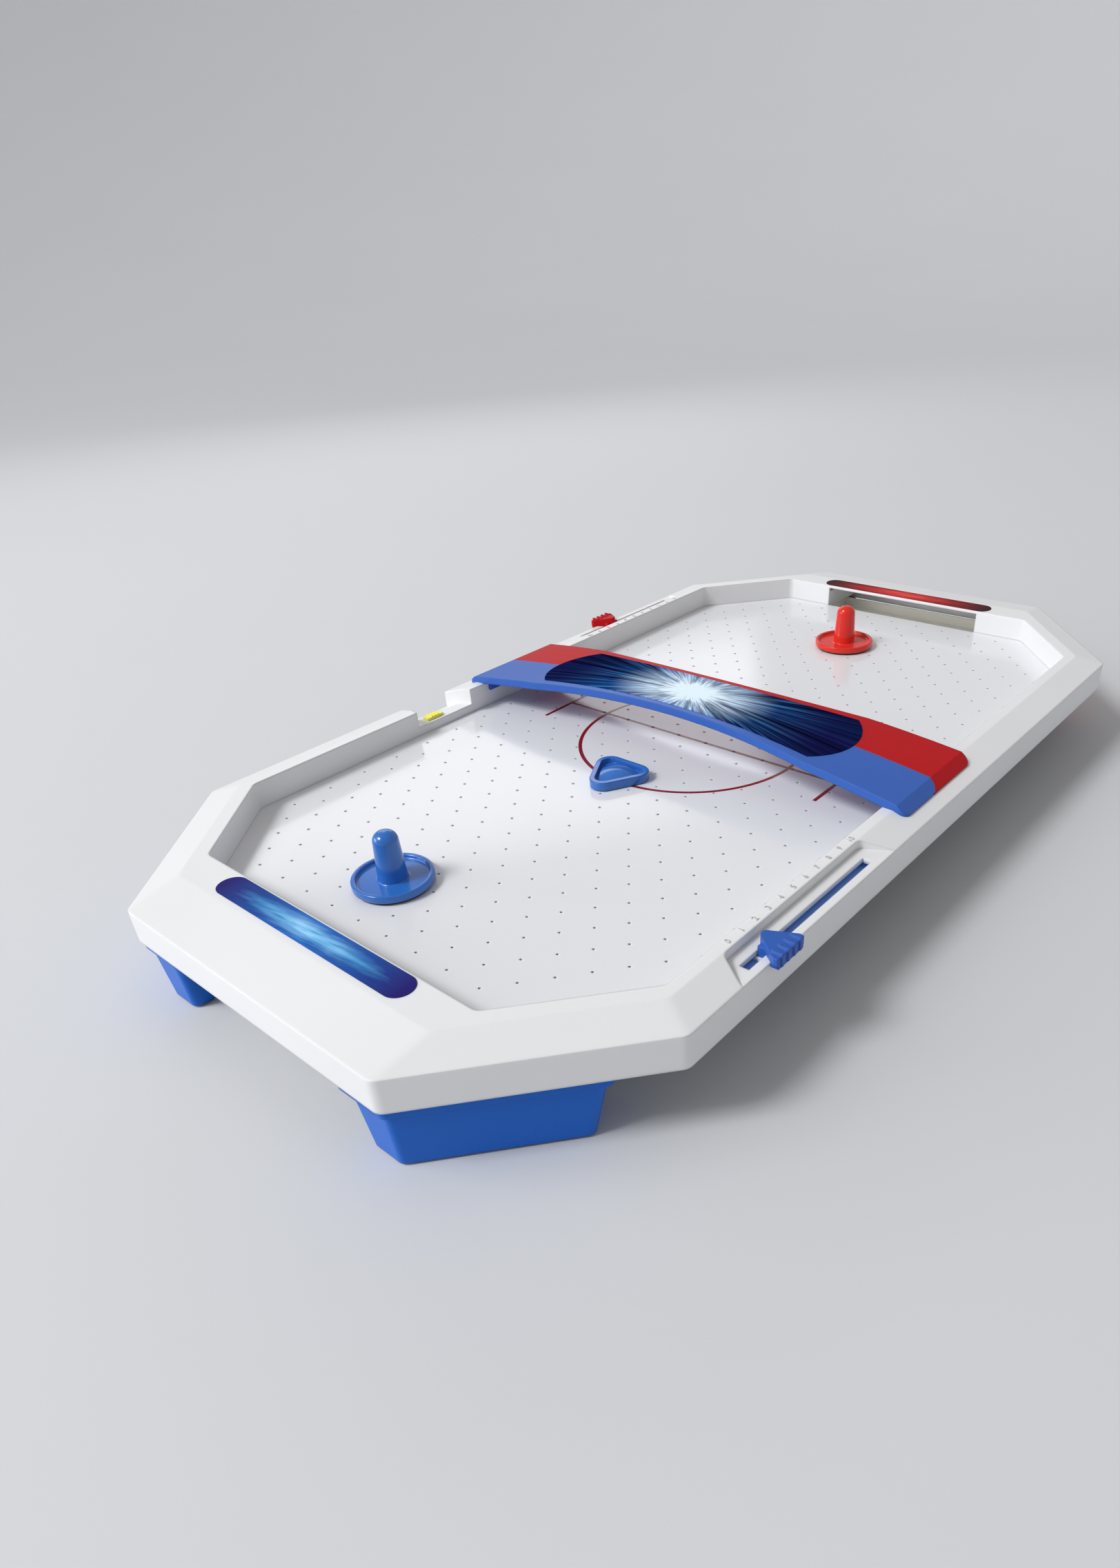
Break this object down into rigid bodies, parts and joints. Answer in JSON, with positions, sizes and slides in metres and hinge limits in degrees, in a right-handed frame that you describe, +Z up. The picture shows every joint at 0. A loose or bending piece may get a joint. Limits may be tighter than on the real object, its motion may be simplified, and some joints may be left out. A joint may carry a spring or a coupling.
{
  "type": "tabletop air hockey",
  "caption": "Table-top air hockey game: perforated air-blown field in a bevelled rim, arched centre bridge, goals, score sliders, mallets, puck and corner legs.",
  "frame": {"origin": "centre of the footprint, at the underside of the feet", "axes": "+X along the table towards the red goal, +Y across it towards the power switch, +Z up"},
  "size_m": [0.6, 0.3292, 0.0697],
  "materials": {
    "white_abs": "satin white moulded plastic",
    "cream_abs": "plain cream moulded plastic",
    "white_sheet": "smooth white sheet",
    "grey_abs": "plain moulded plastic",
    "black_abs": "plain moulded plastic",
    "blue_abs": "satin blue moulded plastic",
    "red_abs": "satin red moulded plastic",
    "blue_gloss": "polished blue plastic",
    "red_gloss": "polished red plastic",
    "yellow_abs": "yellow moulded plastic",
    "steel": "zinc plated steel",
    "cell_jacket": "printed jacket",
    "rubber": "soft black rubber",
    "felt": "black felt",
    "label": "printed sticker",
    "wire": "insulated hook-up wire"
  },
  "bodies": {
    "base": {"air_tray": "grey_abs", "battery_box": "black_abs", "battery_cell_left": "cell_jacket", "battery_cell_right": "cell_jacket", "battery_contacts": "steel", "battery_springs": "steel", "bridge_blue": "blue_abs", "bridge_label": "label", "bridge_red": "red_abs", "bridge_screws": "steel", "fan_duct": "black_abs", "flange_screws": "steel", "foot_blue_left": "rubber", "foot_blue_right": "rubber", "foot_red_left": "rubber", "foot_red_right": "rubber", "goal_label_blue": "label", "goal_label_red": "label", "goal_tray_blue": "cream_abs", "goal_tray_red": "cream_abs", "intake_grille": "black_abs", "leg_blue_left": "blue_abs", "leg_blue_right": "blue_abs", "leg_red_left": "red_abs", "leg_red_right": "red_abs", "leg_screws": "steel", "motor": "steel", "motor_screws": "steel", "playing_surface": "white_sheet", "score_track_blue": "blue_abs", "score_track_red": "red_abs", "switch_body": "black_abs", "table_casing": "white_abs", "tray_screws": "steel", "wire_battery_switch": "wire", "wire_motor_battery": "wire", "wire_switch_motor": "wire"},
    "fan": {"motor_shaft": "steel", "impeller": "black_abs"},
    "battery_door": {"battery_door": "black_abs", "battery_door_screw": "steel"},
    "score_slider_blue": {"score_slider_blue": "blue_abs", "slider_clip_blue": "white_abs"},
    "score_slider_red": {"score_slider_red": "red_abs", "slider_clip_red": "white_abs"},
    "power_switch": {"switch_button": "yellow_abs"},
    "mallet_blue": {"mallet_blue": "blue_gloss", "felt_blue": "felt"},
    "mallet_red": {"mallet_red": "red_gloss", "felt_red": "felt"},
    "puck": {"puck_blue": "blue_gloss"}
  },
  "joints": [
    {"name": "fan_spin", "type": "hinge", "parent": "base", "child": "fan", "pos_m": [0, 0, 0.02], "axis": [0, 0, 1], "continuous": true},
    {"name": "battery_door_hinge", "type": "hinge", "parent": "base", "child": "battery_door", "pos_m": [-0.1252, 0, 0.0034], "axis": [0, 1, 0], "range_deg": [0, 100]},
    {"name": "score_slide_blue", "type": "slide", "parent": "base", "child": "score_slider_blue", "axis": [1, 0, 0], "range_m": [-0.011, 0.074]},
    {"name": "score_slide_red", "type": "slide", "parent": "base", "child": "score_slider_red", "axis": [1, 0, 0], "range_m": [-0.025, 0.06]},
    {"name": "switch_slide", "type": "slide", "parent": "base", "child": "power_switch", "axis": [1, 0, 0], "range_m": [0, 0.004]},
    {"name": "mallet_blue_slide", "type": "slide", "parent": "base", "child": "mallet_blue", "axis": [1, 0, 0], "range_m": [-0.028, 0.08]},
    {"name": "mallet_red_slide", "type": "slide", "parent": "base", "child": "mallet_red", "axis": [1, 0, 0], "range_m": [-0.061, 0.051]},
    {"name": "puck_slide", "type": "slide", "parent": "base", "child": "puck", "axis": [1, 0, 0], "range_m": [-0.019, 0.146]}
  ]
}
